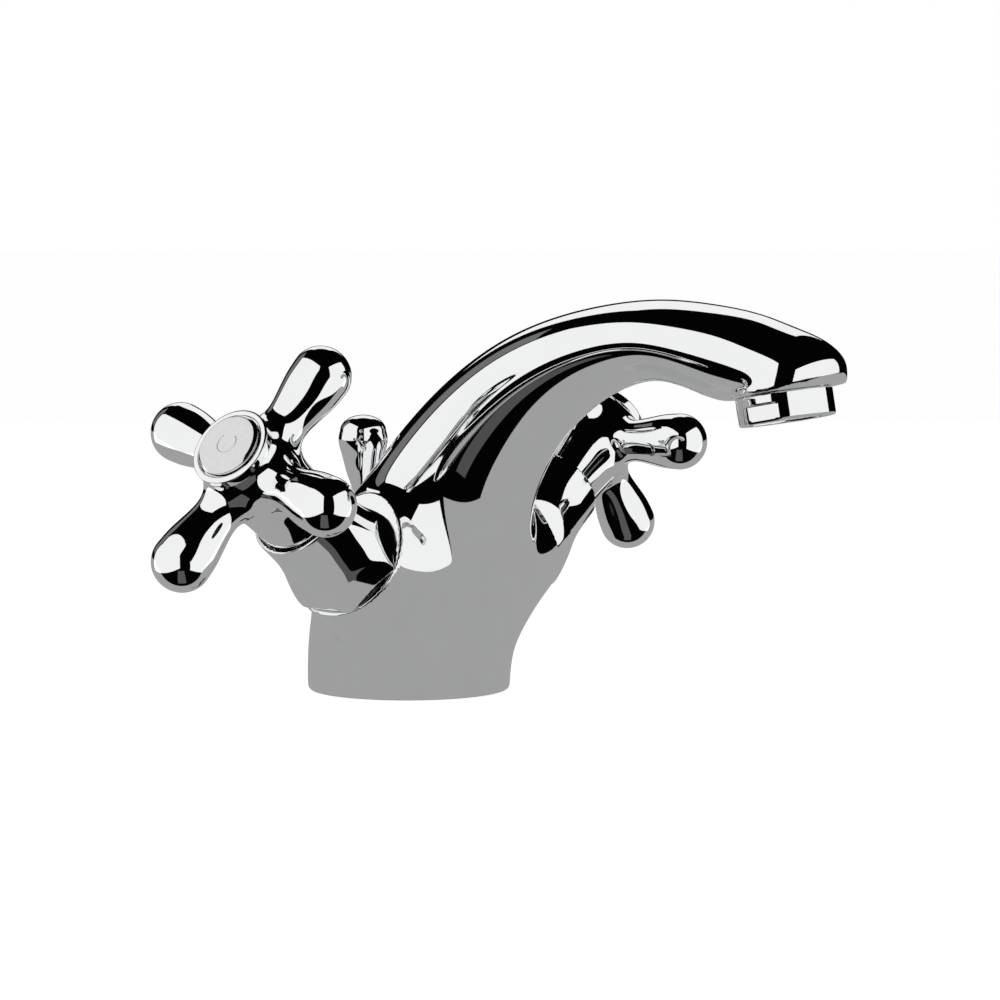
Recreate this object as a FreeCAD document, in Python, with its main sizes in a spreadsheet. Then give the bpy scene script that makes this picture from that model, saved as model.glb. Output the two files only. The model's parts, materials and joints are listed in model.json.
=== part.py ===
# Two-handle basin mixer: a cast body with an arched spout, two ceramic headworks that lean
# outwards, cross handles, an aerator, a pop-up waste rod and the fixing set under the deck.
# Millimetres. +Z is up, the origin is the centre of the base on the deck, the spout points
# along -Y, and the handles stand out along -X (hot, left) and +X (cold, right).

import FreeCAD, Part

import math
import os

import Sketcher

from FreeCAD import Placement, Rotation, Vector

# ---------------------------------------------------------------- driving dimensions

DIMENSIONS = {
    # base and fixing
    "base_radius": 26.5,
    "base_edge": 1.4,
    "cavity_radius": 21.0,
    "cavity_depth": 9.0,
    "gasket_radius": 24.4,
    "gasket_thick": 1.5,
    "inlet_offset_x": 9.0,
    "inlet_offset_y": -4.5,
    "inlet_radius": 5.0,
    "inlet_depth": 12.0,
    "inlet_boss": 8.0,
    "blend_radius": 8.0,
    "outlet_bore": 3.5,
    "junction_y": -7.0,
    "junction_z": 38.0,
    "stud_offset": -13.0,
    "stud_radius": 4.0,
    "stud_boss": 6.5,
    "stud_depth": 14.0,
    "stud_below": 52.0,
    "deck_thick": 18.0,
    "clamp_radius": 23.0,
    "clamp_inner": 17.5,
    "clamp_tab": 6.8,
    "clamp_mouth": 24.0,
    "rubber_thick": 3.0,
    "plate_thick": 2.5,
    "nut_across": 13.0,
    "nut_long": 12.0,
    # lift rod
    "rod_offset": 15.0,
    "rod_radius": 2.4,
    "rod_below": 100.0,
    "guide_radius": 3.6,
    "guide_play": 0.06,
    "guide_collar": 4.2,
    "guide_seat": 48.0,
    "guide_lip": 1.6,
    "guide_long": 12.0,
    "spot_depth": 10.0,
    "knob_foot": 49.7,
    "knob_neck": 2.9,
    "knob_socket": 8.0,
    "knob_top": 71.6,
    "knob_radius": 6.5,
    # valve axes
    "valve_tilt": 35.0,
    "valve_y": -7.6,
    "valve_z": 10.75,
    "arm_end": 43.0,
    "arm_radius": 14.8,
    "seat": 25.0,
    "bore_radius": 10.5,
    "port_radius": 4.0,
    # headwork
    "thread_play": 0.05,
    "seal_thick": 1.6,
    "disc_radius": 8.4,
    "disc_thick": 3.0,
    "disc_bore": 8.5,
    "disc_bore_end": 36.0,
    "window_radius": 2.6,
    "disc_gap": 0.02,
    "window_rise": 7.0,
    "port_angle": 76.0,
    "port_rim": 1.6,
    "port_core": 1.4,
    "hex_across": 20.0,
    "hex_long": 6.0,
    "neck_radius": 8.4,
    "neck_end": 66.0,
    "nose_radius": 6.4,
    "nose_end": 71.0,
    "spindle_radius": 4.95,
    "spindle_play": 0.05,
    "spline_radius": 4.0,
    "spline_end": 87.5,
    "groove_radius": 3.72,
    "ring_at": 55.0,
    "ring_wide": 2.2,
    "clip_radius": 6.1,
    "clip_thick": 1.0,
    # bonnet
    "bonnet_flange": 15.5,
    "bonnet_lip": 12.15,
    "bonnet_wall": 1.0,
    "bonnet_end": 69.0,
    "bonnet_across": 27.0,
    "bonnet_clocking": 28.0,
    "bonnet_relief": 12.0,
    "bonnet_relief_end": 51.0,
    "bonnet_thread": 54.0,
    "bonnet_floor": 57.0,
    # handle
    "spoke_plane": 89.9,
    "spoke_reach": 29.4,
    "spoke_tip": 7.6,
    "spoke_neck": 5.6,
    "spoke_neck_at": 12.0,
    "hub_radius": 11.0,
    "hub_rim": 10.6,
    "hub_top": 100.4,
    "skirt_radius": 10.2,
    "skirt_inner": 9.0,
    "skirt_end": 68.5,
    "skirt_top": 73.4,
    "index_seat": 99.9,
    "index_pocket": 5.0,
    "head_seat": 89.5,
    "index_radius": 8.5,
    "index_top": 101.7,
    "bush_radius": 6.4,
    "screw_radius": 2.0,
    "screw_head": 4.0,
    "left_clocking": 161.1,
    "right_clocking": 89.0,
    # spout nose and aerator
    "outlet_y": -115.2,
    "outlet_z": 81.2,
    "outlet_tilt": 10.2,
    "nose_rim": 14.2,
    "nose_shift": 1.6,
    "aerator_radius": 12.0,
    "aerator_show": 7.1,
    "aerator_thread": 11.5,
    "aerator_depth": 7.5,
    "aerator_gap": 0.3,
    "jet_radius": 0.9,
    "jet_ring": 3.0,
    "insert_radius": 10.0,
    "water_radius": 7.0,
}

doc = FreeCAD.newDocument("BasinMixer")
sheet = doc.addObject("Spreadsheet::Sheet", "Dimensions")
for row, (alias, value) in enumerate(DIMENSIONS.items(), start=1):
    sheet.set(f"A{row}", alias)
    sheet.set(f"B{row}", str(value))
    sheet.setAlias(f"B{row}", alias)
doc.recompute()

kept = []


def size(alias):
    """A driving dimension, read back from the sheet."""
    return float(sheet.get(alias))


def bind(obj, **sizes):
    """Tie properties of an object to expressions of the sheet's aliases."""
    for prop, text in sizes.items():
        for alias in sorted(DIMENSIONS, key=len, reverse=True):
            text = replace_word(text, alias)
        obj.setExpression(prop.replace("__", "."), text)
    return obj


def replace_word(text, alias):
    """Put the sheet's name before an alias that stands alone in an expression."""
    out = ""
    start = 0
    while True:
        found = text.find(alias, start)
        if found < 0:
            return out + text[start:]
        end = found + len(alias)
        before = text[found - 1] if found else " "
        after = text[end] if end < len(text) else " "
        alone = not (before.isalnum() or before in "_.") and not (after.isalnum() or after == "_")
        out += text[start:found] + ("Dimensions." + alias if alone else alias)
        start = end


def keep(obj, label):
    """Name a finished sub-part."""
    obj.Label = label
    kept.append(obj)
    return obj


# ---------------------------------------------------------------- building blocks


def cylinder(name, radius, height, low="0", at_x="0", at_y="0"):
    """A cylinder along +Z of its own frame."""
    obj = doc.addObject("Part::Cylinder", name)
    return bind(
        obj,
        Radius=radius,
        Height=height,
        Placement__Base__x=at_x,
        Placement__Base__y=at_y,
        Placement__Base__z=low,
    )


def fuse(name, shapes):
    obj = doc.addObject("Part::MultiFuse", name)
    obj.Shapes = shapes
    obj.Refine = False
    return obj


def cut(name, base, tool):
    obj = doc.addObject("Part::Cut", name)
    obj.Base = base
    obj.Tool = tool
    obj.Refine = False
    return obj


def common(name, shapes):
    obj = doc.addObject("Part::MultiCommon", name)
    obj.Shapes = shapes
    return obj


def turned(name, profile):
    """A body turned about Z. The profile is a closed list of (radius, height) expressions."""
    body = doc.addObject("PartDesign::Body", name)
    sketch = body.newObject("Sketcher::SketchObject", name + "_profile")
    plane = next(f for f in body.Origin.OriginFeatures if f.Role == "XZ_Plane")
    sketch.AttachmentSupport = (plane, [""])
    sketch.MapMode = "FlatFace"
    spots = [Vector(number(r), number(z), 0) for r, z in profile]
    count = len(spots)
    for i in range(count):
        sketch.addGeometry(Part.LineSegment(spots[i], spots[(i + 1) % count]), False)
    for i in range(count):
        sketch.addConstraint(Sketcher.Constraint("Coincident", i, 2, (i + 1) % count, 1))
    for i, (r, z) in enumerate(profile):
        for kind, text, value, axis in (
            ("DistanceX", r, spots[i].x, -2),
            ("DistanceY", z, spots[i].y, -1),
        ):
            if abs(value) < 1e-9:
                sketch.addConstraint(Sketcher.Constraint("PointOnObject", i, 1, axis))
                continue
            index = sketch.addConstraint(Sketcher.Constraint(kind, -1, 1, i, 1, value))
            bind(sketch, **{f"Constraints[{index}]": text})
    turn = body.newObject("PartDesign::Revolution", name + "_turn")
    turn.Profile = sketch
    turn.ReferenceAxis = (sketch, ["V_Axis"])
    turn.Angle = 360.0
    return body


def number(text):
    """The value of an expression of the sheet's aliases, for a first placing of a sketch point."""
    total = 0.0
    for term in text.replace("-", "+-").split("+"):
        term = term.strip()
        if not term:
            continue
        sign = -1.0 if term.startswith("-") else 1.0
        value = 1.0
        for factor in term.lstrip("-").split("*"):
            factor = factor.strip()
            value *= size(factor) if factor in DIMENSIONS else float(factor)
        total += sign * value
    return total


def hexagon(name, across, height, low):
    """A hexagonal prism, given across its flats."""
    obj = doc.addObject("Part::Prism", name)
    obj.Polygon = 6
    return bind(
        obj, Circumradius=f"({across}) / 2 / cos(30)", Height=height, Placement__Base__z=low
    )


# ---------------------------------------------------------------- the cast body


def oval(centre, slope, half_height, half_width):
    """A closed elliptical wire across the spout. slope is the run's rise above level, degrees."""
    ring = Part.makeCircle(1.0)
    scale = FreeCAD.Matrix()
    scale.scale(half_width, half_height, 1.0)
    curve = ring.transformGeometry(scale)
    across = Placement(Vector(0, centre[0], centre[1]), Rotation(Vector(1, 0, 0), 90.0 - slope))
    curve.Placement = across * curve.Placement
    return Part.Wire(curve.Edges)


def nose_centre(shift):
    """The middle of the nose's rim plane, moved forward in that plane by shift."""
    tilt = math.radians(size("outlet_tilt"))
    return size("outlet_y") - shift * math.cos(tilt), size("outlet_z") + shift * math.sin(tilt)


def spine():
    """The spout's run from deck to nose: centre (y, z), slope, half height, half width."""
    base = size("base_radius")
    rim = size("nose_rim")
    return [
        ((0.0, 0.0), 90.0, base, base),
        ((0.0, 10.0), 90.0, base - 0.1, base - 0.1),
        ((-1.2, 22.0), 83.0, base - 0.8, base - 1.0),
        ((-7.6, 38.7), 68.0, 22.9, 24.8),
        ((-19.4, 58.6), 47.0, 19.2, 21.2),
        ((-41.0, 80.6), 27.0, 14.3, 16.6),
        ((-65.0, 91.2), 10.0, 10.8, 14.6),
        ((-80.0, 93.2), -2.0, 10.2, 14.0),
        ((-93.0, 91.6), -13.0, 11.0, 13.9),
        ((-103.8, 89.2), -28.0, 11.9, 13.9),
        ((-111.4, 87.2), -44.0, 12.7, 13.9),
        ((-116.6, 84.9), -62.0, 14.0, 14.0),
        (nose_centre(size("nose_shift")), size("outlet_tilt") - 90.0, rim, rim),
    ]


def spout_shape():
    """The base column and the arched spout, one smooth run of ovals."""
    return Part.makeLoft([oval(*station) for station in spine()], True, False)


def arm_shape():
    """A round valve arm in its own frame, flaring towards the base."""
    end = size("arm_end")
    tip = size("arm_radius")
    # distance in from the arm's end, growth of the radius
    stations = [(0.0, 0.0), (7.0, 0.0), (13.0, 0.1), (18.0, 0.3), (24.0, 0.7), (34.0, 1.0)]
    rings = [Part.Wire(Part.makeCircle(tip + more, Vector(0, 0, end - back))) for back, more in stations]
    return Part.makeLoft(rings, True, False)


def valve_placement(side):
    """The frame of a valve: local +Z runs outwards along its axis, local +X points down."""
    turn = Rotation(Vector(0, 1, 0), side * (90.0 - size("valve_tilt")))
    if side < 0:
        turn = turn * Rotation(Vector(0, 0, 1), 180.0)
    return Placement(Vector(0, size("valve_y"), size("valve_z")), turn)


def casting_shape():
    """The outside of the casting: column, spout and both arms, with rounded creases and foot."""
    arms = []
    for side in (-1, 1):
        arm = arm_shape()
        arm.Placement = valve_placement(side)
        arms.append(arm)
    rough = spout_shape().fuse(arms)
    creases = []
    for edge in rough.Edges:
        faces = rough.ancestorsOfType(edge, Part.Face)
        curved = [face for face in faces if not isinstance(face.Surface, Part.Plane)]
        if len(curved) == 2 and not curved[0].isSame(curved[1]):
            creases.append(edge)
    smooth = rough.makeFillet(size("blend_radius"), creases)
    foot = [edge for edge in smooth.Edges if edge.BoundBox.ZMax < 0.01]
    return smooth.makeFillet(size("base_edge"), foot)


def waterway_shape():
    """The passage inside the spout, a round tube along the same run, ending over the aerator."""
    radius = size("water_radius")
    rings = []
    for centre, slope, half_height, half_width in spine()[3:11]:
        rings.append(oval(centre, slope, radius, radius))
    tilt = math.radians(size("outlet_tilt"))
    rise = size("aerator_depth") - 0.5
    end_y, end_z = nose_centre(0.0)
    end = (end_y + rise * math.sin(tilt), end_z + rise * math.cos(tilt))
    rings.append(oval(end, size("outlet_tilt") - 90.0, radius + 1.5, radius + 1.5))
    return Part.makeLoft(rings, True, False)


def feature(name, shape):
    """A document object for a shape that no parametric feature makes."""
    obj = doc.addObject("Part::Feature", name)
    obj.Shape = shape
    return obj


def along_valve(obj, side):
    """Set a sub-part that was made along +Z onto a valve axis."""
    obj.Placement = valve_placement(side)
    bind(obj, Placement__Base__y="valve_y", Placement__Base__z="valve_z")
    return obj


def at_outlet(obj):
    """Set a sub-part made along +Z onto the outlet, with +Z up into the nose."""
    turn = Rotation(Vector(1, 0, 0), -size("outlet_tilt"))
    obj.Placement = Placement(Vector(0, size("outlet_y"), size("outlet_z")), turn)
    bind(obj, Placement__Base__y="outlet_y", Placement__Base__z="outlet_z")
    return obj


def side_name(side):
    return "left" if side < 0 else "right"


def make_body():
    casting = feature("casting", casting_shape())
    tools = [feature("waterway", waterway_shape())]

    hollow = cylinder("hollow", "cavity_radius", "cavity_depth")
    bosses = [
        cylinder("stud_boss_post", "stud_boss", "cavity_depth", at_y="stud_offset"),
        cylinder("rod_boss_post", "guide_collar + 1", "cavity_depth", at_y="rod_offset"),
    ]
    for side in (-1, 1):
        place = {"at_x": f"{side} * inlet_offset_x", "at_y": "inlet_offset_y"}
        bosses.append(
            cylinder(side_name(side) + "_inlet_boss", "inlet_boss", "cavity_depth", **place)
        )
        tools.append(cylinder(side_name(side) + "_inlet", "inlet_radius", "inlet_depth", **place))
        rise = "valve_z + inlet_offset_x * tan(valve_tilt * 1 deg)"
        tools.append(cylinder(side_name(side) + "_riser", "port_radius", rise, **place))
    tools.append(cut("cavity", hollow, fuse("bosses", bosses)))
    tools.append(cylinder("gasket_groove", "gasket_radius + thread_play", "gasket_thick"))
    tools.append(cylinder("stud_hole", "stud_radius", "stud_depth", at_y="stud_offset"))
    tools.append(cylinder("rod_hole", "guide_radius", "guide_seat", at_y="rod_offset"))
    spot = cylinder("rod_spot", "guide_collar + 0.3", "spot_depth", low="guide_seat")
    tools.append(bind(spot, Placement__Base__y="rod_offset"))

    for side in (-1, 1):
        label = side_name(side)
        bore = cylinder(label + "_bore", "bore_radius", "arm_end", low="seat")
        port = cylinder(label + "_port", "port_radius", "seat - 8 + 1", low="8")
        tools.append(along_valve(fuse(label + "_valve_bore", [bore, port]), side))
        start = valve_placement(side).multVec(Vector(0, 0, size("seat") + 6.0))
        finish = Vector(0, size("junction_y"), size("junction_z"))
        run = finish - start
        outlet = doc.addObject("Part::Cylinder", label + "_outlet")
        bind(outlet, Radius="outlet_bore")
        outlet.Height = run.Length
        outlet.Placement = Placement(start, Rotation(Vector(0, 0, 1), run))
        tools.append(outlet)

    nose = cylinder("nose_bore", "aerator_thread", "aerator_depth + 2", low="-2")
    nose_group = doc.addObject("Part::Compound", "nose_bore_placed")
    nose_group.Links = [nose]
    tools.append(at_outlet(nose_group))
    keep(cut("body_casting", casting, fuse("body_tools", tools)), "body")


def make_base_fixing():
    low, high = "0", "gasket_thick"
    inner, outer = "cavity_radius + 0.3", "gasket_radius"
    keep(turned("gasket", [(inner, low), (outer, low), (outer, high), (inner, high)]), "base_gasket")

    stud = cylinder("stud", "stud_radius - 0.03", "stud_depth + stud_below", low="-stud_below")
    bind(stud, Placement__Base__y="stud_offset")
    keep(stud, "fixing_stud")

    keep(horseshoe("rubber", "rubber_thick", "-deck_thick - rubber_thick"), "rubber_horseshoe")
    low = "-deck_thick - rubber_thick - plate_thick"
    keep(horseshoe("plate", "plate_thick", low), "steel_horseshoe")

    low = "-deck_thick - rubber_thick - plate_thick - nut_long"
    nut = hexagon("nut_blank", "nut_across", "nut_long", low)
    bind(nut, Placement__Base__y="stud_offset")
    hole = cylinder("nut_hole", "stud_radius", "nut_long", low=low, at_y="stud_offset")
    keep(cut("nut", nut, hole), "fixing_nut")


def horseshoe(name, thick, low):
    """An open ring with a tab for the stud, clamped up under the deck."""
    ring = cut(
        name + "_ring",
        cylinder(name + "_disc", "clamp_radius", thick, low=low),
        cylinder(name + "_eye", "clamp_inner", thick, low=low),
    )
    tab = cylinder(name + "_tab", "clamp_tab", thick, low=low, at_y="stud_offset")
    bridge = box(
        name + "_bridge", "2 * clamp_tab", "-stud_offset - clamp_tab + 1", thick,
        "-clamp_tab", "-clamp_inner - 2", low,
    )
    mouth = box(name + "_mouth", "clamp_mouth", "clamp_radius", thick, "-clamp_mouth / 2", "0", low)
    hole = cylinder(name + "_hole", "stud_radius + 0.4", thick, low=low, at_y="stud_offset")
    return cut(name, fuse(name + "_blank", [ring, tab, bridge]), fuse(name + "_cuts", [mouth, hole]))


def box(name, long_x, long_y, long_z, low_x, low_y, low_z):
    obj = doc.addObject("Part::Box", name)
    return bind(
        obj, Length=long_x, Width=long_y, Height=long_z,
        Placement__Base__x=low_x, Placement__Base__y=low_y, Placement__Base__z=low_z,
    )


def make_headwork(side):
    """The ceramic headwork screwed into an arm, bottom seal to spindle."""
    label = side_name(side) + "_"

    def place(obj, name):
        keep(along_valve(obj, side), label + name)

    seal_top = "seat + seal_thick + 0.4"
    fixed_top = seal_top + " + disc_thick"
    moving_low = fixed_top + " + disc_gap"
    moving_top = moving_low + " + disc_thick"
    foot_low = moving_top + " + disc_gap"
    shell_low = "seat + 0.8"
    hex_top = "arm_end + hex_long"

    shell = turned(label + "shell", [
        ("disc_bore", shell_low), ("bore_radius - thread_play", shell_low),
        ("bore_radius - thread_play", "arm_end"), ("hex_across * 0.5 - 0.2", "arm_end"),
        ("hex_across * 0.5 - 0.2", hex_top), ("neck_radius", hex_top),
        ("neck_radius", "neck_end"), ("nose_radius", "neck_end"), ("nose_radius", "nose_end"),
        ("spindle_radius + spindle_play", "nose_end"),
        ("spindle_radius + spindle_play", "disc_bore_end"), ("disc_bore", "disc_bore_end"),
    ])
    wrench = cut(
        label + "wrench",
        hexagon(label + "wrench_blank", "hex_across", "hex_long", "arm_end"),
        cylinder(label + "wrench_eye", "neck_radius - 1", "hex_long", low="arm_end"),
    )
    windows = cylinder(label + "window", "window_radius", "4 * bore_radius", low="-2 * bore_radius")
    windows.Placement.Rotation = Rotation(Vector(1, 0, 0), 90)
    bind(windows, Placement__Base__y="2 * bore_radius", Placement__Base__z="seat + window_rise")
    place(cut(label + "headwork", fuse(label + "headwork_blank", [shell, wrench]), windows), "headwork")

    place(turned(label + "seal_ring", [
        ("port_radius + 0.4", "seat"), ("disc_bore - thread_play", "seat"),
        ("disc_bore - thread_play", seal_top), ("port_radius + 0.4", seal_top),
    ]), "seat_seal")

    slab = cylinder(label + "fixed_slab", "disc_radius", "disc_thick", low=seal_top)
    place(cut(label + "fixed", slab, disc_ports(label + "fixed_port", seal_top)), "fixed_disc")
    slab = cylinder(label + "moving_slab", "disc_radius", "disc_thick", low=moving_low)
    place(cut(label + "moving", slab, disc_ports(label + "moving_port", moving_low)), "moving_disc")

    ring_low = "ring_at - ring_wide * 0.5"
    ring_high = "ring_at + ring_wide * 0.5"
    clip_low = "nose_end + 0.3"
    clip_high = clip_low + " + clip_thick + 0.1"
    place(turned(label + "stem", [
        ("0", foot_low), ("disc_radius - 0.1", foot_low),
        ("disc_radius - 0.1", "disc_bore_end - 0.1"), ("spindle_radius", "disc_bore_end - 0.1"),
        ("spindle_radius", ring_low), ("groove_radius", ring_low),
        ("groove_radius", ring_high), ("spindle_radius", ring_high),
        ("spindle_radius", clip_low), ("spline_radius", clip_low),
        ("spline_radius", clip_high), ("spindle_radius", clip_high),
        ("spindle_radius", "skirt_top"), ("spline_radius", "skirt_top"),
        ("spline_radius", "spline_end"), ("screw_radius + 0.05", "spline_end"),
        ("screw_radius + 0.05", "spline_end - 12"), ("0", "spline_end - 12"),
    ]), "spindle")

    seal = doc.addObject("Part::Torus", label + "ring")
    middle = "(spindle_radius + spindle_play + groove_radius) / 2"
    bind(
        seal, Radius1=middle, Placement__Base__z="ring_at",
        Radius2="(spindle_radius + spindle_play - groove_radius) / 2 - 0.01",
    )
    place(moved_group(seal), "spindle_o_ring")

    clip = cut(
        label + "clip",
        cylinder(label + "clip_disc", "clip_radius", "clip_thick", low=clip_low + " + 0.05"),
        fuse(label + "clip_cuts", [
            cylinder(label + "clip_eye", "spline_radius + 0.02", "clip_thick * 2", low=clip_low),
            box(label + "clip_gap", "clip_radius * 2", "spline_radius", "clip_thick * 2",
                "0", "-spline_radius / 2", clip_low),
        ]),
    )
    place(clip, "circlip")


def disc_ports(name, low):
    """Two quarter ports of a ceramic disc, as one tool."""
    ports = []
    for turn in (0, 180):
        port = doc.addObject("Part::Cylinder", f"{name}_{turn}")
        bind(port, Radius="disc_radius - port_rim", Height="disc_thick", Placement__Base__z=low)
        port.Angle = size("port_angle")
        port.Placement.Rotation = Rotation(Vector(0, 0, 1), turn)
        ports.append(port)
    core = cylinder(name + "_core", "port_core", "disc_thick", low=low)
    return cut(name + "s", fuse(name + "_pair", ports), core)


def moved_group(obj):
    """Wrap a feature that already has a place of its own, so the whole can be placed again."""
    group = doc.addObject("Part::Compound", obj.Name + "_placed")
    group.Links = [obj]
    return group


def make_bonnet(side):
    """The flared cover over a headwork, with six wrench flats cut into its foot."""
    label = side_name(side) + "_bonnet"
    thread = "neck_radius + thread_play"
    lip_inner = "bonnet_lip - bonnet_wall"
    cover = turned(label + "_cover", [
        ("bonnet_relief", "arm_end"), ("bonnet_flange - 0.9", "arm_end"),
        ("bonnet_flange", "arm_end + 1.3"), ("bonnet_flange", "arm_end + 3"),
        ("bonnet_flange - 0.4", "arm_end + 5"), ("bonnet_flange - 1.2", "arm_end + 7.5"),
        ("bonnet_flange - 2.1", "arm_end + 10.5"), ("bonnet_lip + 0.6", "arm_end + 13.5"),
        ("bonnet_lip + 0.15", "arm_end + 16.5"), ("bonnet_lip", "arm_end + 20"),
        ("bonnet_lip", "bonnet_end"), (lip_inner, "bonnet_end"), (lip_inner, "bonnet_floor"),
        (thread, "bonnet_floor"), (thread, "bonnet_thread"), ("bonnet_relief", "bonnet_relief_end"),
    ])
    across = hexagon(label + "_hex", "bonnet_across", "bonnet_end - arm_end", "arm_end")
    across.Placement.Rotation = Rotation(Vector(0, 0, 1), size("bonnet_clocking"))
    keep(along_valve(common(label + "_flats", [cover, across]), side), label)


def spoke_shape():
    """One spoke along +X: a slim neck that swells to a rounded tip."""
    neck = size("spoke_neck")
    tip = size("spoke_tip")
    reach = size("spoke_reach")
    level = size("spoke_plane")
    end = reach + math.sqrt(tip**2 - 1.0) * 0.92
    curve = Part.BSplineCurve()
    curve.interpolate([
        Vector(2.0, neck + 1.2, 0), Vector(7.0, neck + 0.4, 0), Vector(size("spoke_neck_at"), neck, 0),
        Vector(16.0, neck + 0.25, 0), Vector(20.0, neck + 0.9, 0), Vector(24.5, tip - 0.3, 0),
        Vector(reach, tip, 0),
        Vector(reach + 4.6, tip - 1.9, 0), Vector(end, 1.0, 0),
    ])
    side = Part.Wire([
        curve.toShape(),
        Part.makeLine(Vector(end, 1.0, 0), Vector(end, 0, 0)),
        Part.makeLine(Vector(end, 0, 0), Vector(2.0, 0, 0)),
        Part.makeLine(Vector(2.0, 0, 0), Vector(2.0, neck + 1.2, 0)),
    ])
    spoke = Part.Face(side).revolve(Vector(), Vector(1, 0, 0), 360)
    spoke.translate(Vector(0, 0, level))
    return spoke


def make_handle(side):
    """The cross handle with its spline bush, screw and index disc."""
    label = side_name(side) + "_"
    clocking = size(label + "clocking")

    def place(obj, name):
        keep(along_valve(obj, side), label + name)

    hub = turned(label + "hub", [
        ("0", "skirt_end"), ("skirt_radius", "skirt_end"), ("skirt_radius", "skirt_top + 1"),
        ("hub_radius", "skirt_top + 8"), ("hub_radius", "spoke_plane + 3"),
        ("hub_radius - 1", "hub_top - 4"), ("hub_rim", "hub_top - 2"), ("hub_rim", "hub_top"),
        ("0", "hub_top"),
    ])
    spokes = []
    for k in range(4):
        spoke = spoke_shape()
        spoke.rotate(Vector(), Vector(0, 0, 1), clocking + 90 * k)
        spokes.append(feature(f"{label}spoke_{k}", spoke))
    hollow = turned(label + "hollow", [
        ("0", "skirt_end"), ("skirt_inner", "skirt_end"), ("skirt_inner", "skirt_top"),
        ("bush_radius", "skirt_top"), ("bush_radius", "spline_end"),
        ("screw_radius + 0.2", "spline_end"), ("screw_radius + 0.2", "head_seat"),
        ("index_pocket", "head_seat"), ("index_pocket", "index_seat"),
        ("index_radius + 0.35", "index_seat"), ("index_radius + 0.35", "hub_top"),
        ("0", "hub_top"),
    ])
    place(cut(label + "cross", fuse(label + "cross_blank", [hub] + spokes), hollow), "handle")

    place(turned(label + "bush_ring", [
        ("spline_radius", "skirt_top + 0.2"), ("bush_radius", "skirt_top + 0.2"),
        ("bush_radius", "spline_end"), ("spline_radius", "spline_end"),
    ]), "spline_bush")

    slot = box(label + "slot", "2 * screw_head", "1", "1.5", "-screw_head", "-0.5", "head_seat + 2")
    pin = turned(label + "screw_pin", [
        ("0", "spline_end - 10"), ("screw_radius", "spline_end - 10"),
        ("screw_radius", "head_seat"), ("screw_head", "head_seat"),
        ("screw_head", "head_seat + 2.8"), ("0", "head_seat + 2.8"),
    ])
    place(cut(label + "screw", pin, slot), "handle_screw")

    place(turned(label + "index_disc", [
        ("0", "index_seat - 5"), ("index_pocket - 0.02", "index_seat - 5"),
        ("index_pocket - 0.02", "index_seat"), ("index_radius", "index_seat"),
        ("index_radius", "index_top - 0.6"), ("index_radius - 0.6", "index_top"),
        ("0", "index_top"),
    ]), "index_disc")


def make_aerator():
    """The aerator in the nose: threaded shell with two wrench flats, insert and washer."""
    shell = turned("aerator_turned", [
        ("insert_radius + 0.02", "-1 * aerator_show"), ("aerator_radius - 0.6", "-1 * aerator_show"),
        ("aerator_radius", "-1 * aerator_show + 0.6"), ("aerator_radius", "-1 * aerator_gap"),
        ("aerator_thread - 0.03", "-1 * aerator_gap"),
        ("aerator_thread - 0.03", "aerator_depth - 2.2"),
        ("insert_radius + 0.02", "aerator_depth - 2.2"),
    ])
    flats = []
    for sign, name in ((1, "aerator_flat_right"), (-1, "aerator_flat_left")):
        low_x = "aerator_radius - 0.9" if sign > 0 else "-aerator_radius - 0.1"
        flats.append(box(name, "1", "2 * aerator_radius", "aerator_show * 0.62",
                         low_x, "-aerator_radius", "-aerator_show"))
    keep(at_outlet(cut("aerator_cut", shell, fuse("aerator_flats", flats))), "aerator_shell")

    insert = turned("insert_turned", [
        ("0", "-1 * aerator_show + 1.2"), ("insert_radius", "-1 * aerator_show + 1.2"),
        ("insert_radius", "aerator_depth - 2.2"), ("0", "aerator_depth - 2.2"),
    ])
    holes = []
    for ring, count in enumerate((1, 6, 12)):
        for k in range(count):
            angle = 360.0 * k / count
            out = f"{ring} * jet_ring"
            hole = cylinder(f"jet_{ring}_{k}", "jet_radius", "aerator_show + aerator_depth",
                            low="-aerator_show", at_x=f"{out} * cos({angle} * 1 deg)",
                            at_y=f"{out} * sin({angle} * 1 deg)")
            holes.append(hole)
    keep(at_outlet(cut("insert_cut", insert, fuse("jets", holes))), "aerator_insert")

    keep(at_outlet(turned("washer_turned", [
        ("water_radius + 1.5", "aerator_depth - 2.2"), ("aerator_thread - 0.1", "aerator_depth - 2.2"),
        ("aerator_thread - 0.1", "aerator_depth"), ("water_radius + 1.5", "aerator_depth"),
    ])), "aerator_washer")


def make_lift_rod():
    """The pop-up waste's rod, its knob and the guide bush in the body's back shoulder."""
    low = "guide_seat - guide_long"
    top = "guide_seat + guide_lip"
    guide = turned("guide_turned", [
        ("rod_radius + guide_play", low), ("guide_radius - 0.02", low),
        ("guide_radius - 0.02", "guide_seat"), ("guide_collar", "guide_seat"),
        ("guide_collar", top), ("rod_radius + guide_play", top),
    ])
    guide.Placement.Base = Vector(0, size("rod_offset"), 0)
    keep(bind(guide, Placement__Base__y="rod_offset"), "rod_guide")

    rod = cylinder("rod", "rod_radius", "rod_below + knob_foot + knob_socket",
                   low="-rod_below", at_y="rod_offset")
    keep(rod, "lift_rod")

    knob = feature("knob_outside", knob_shape())
    socket = cylinder("knob_hole", "rod_radius", "knob_socket", low="knob_foot", at_y="rod_offset")
    keep(cut("knob", knob, socket), "lift_knob")


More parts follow.
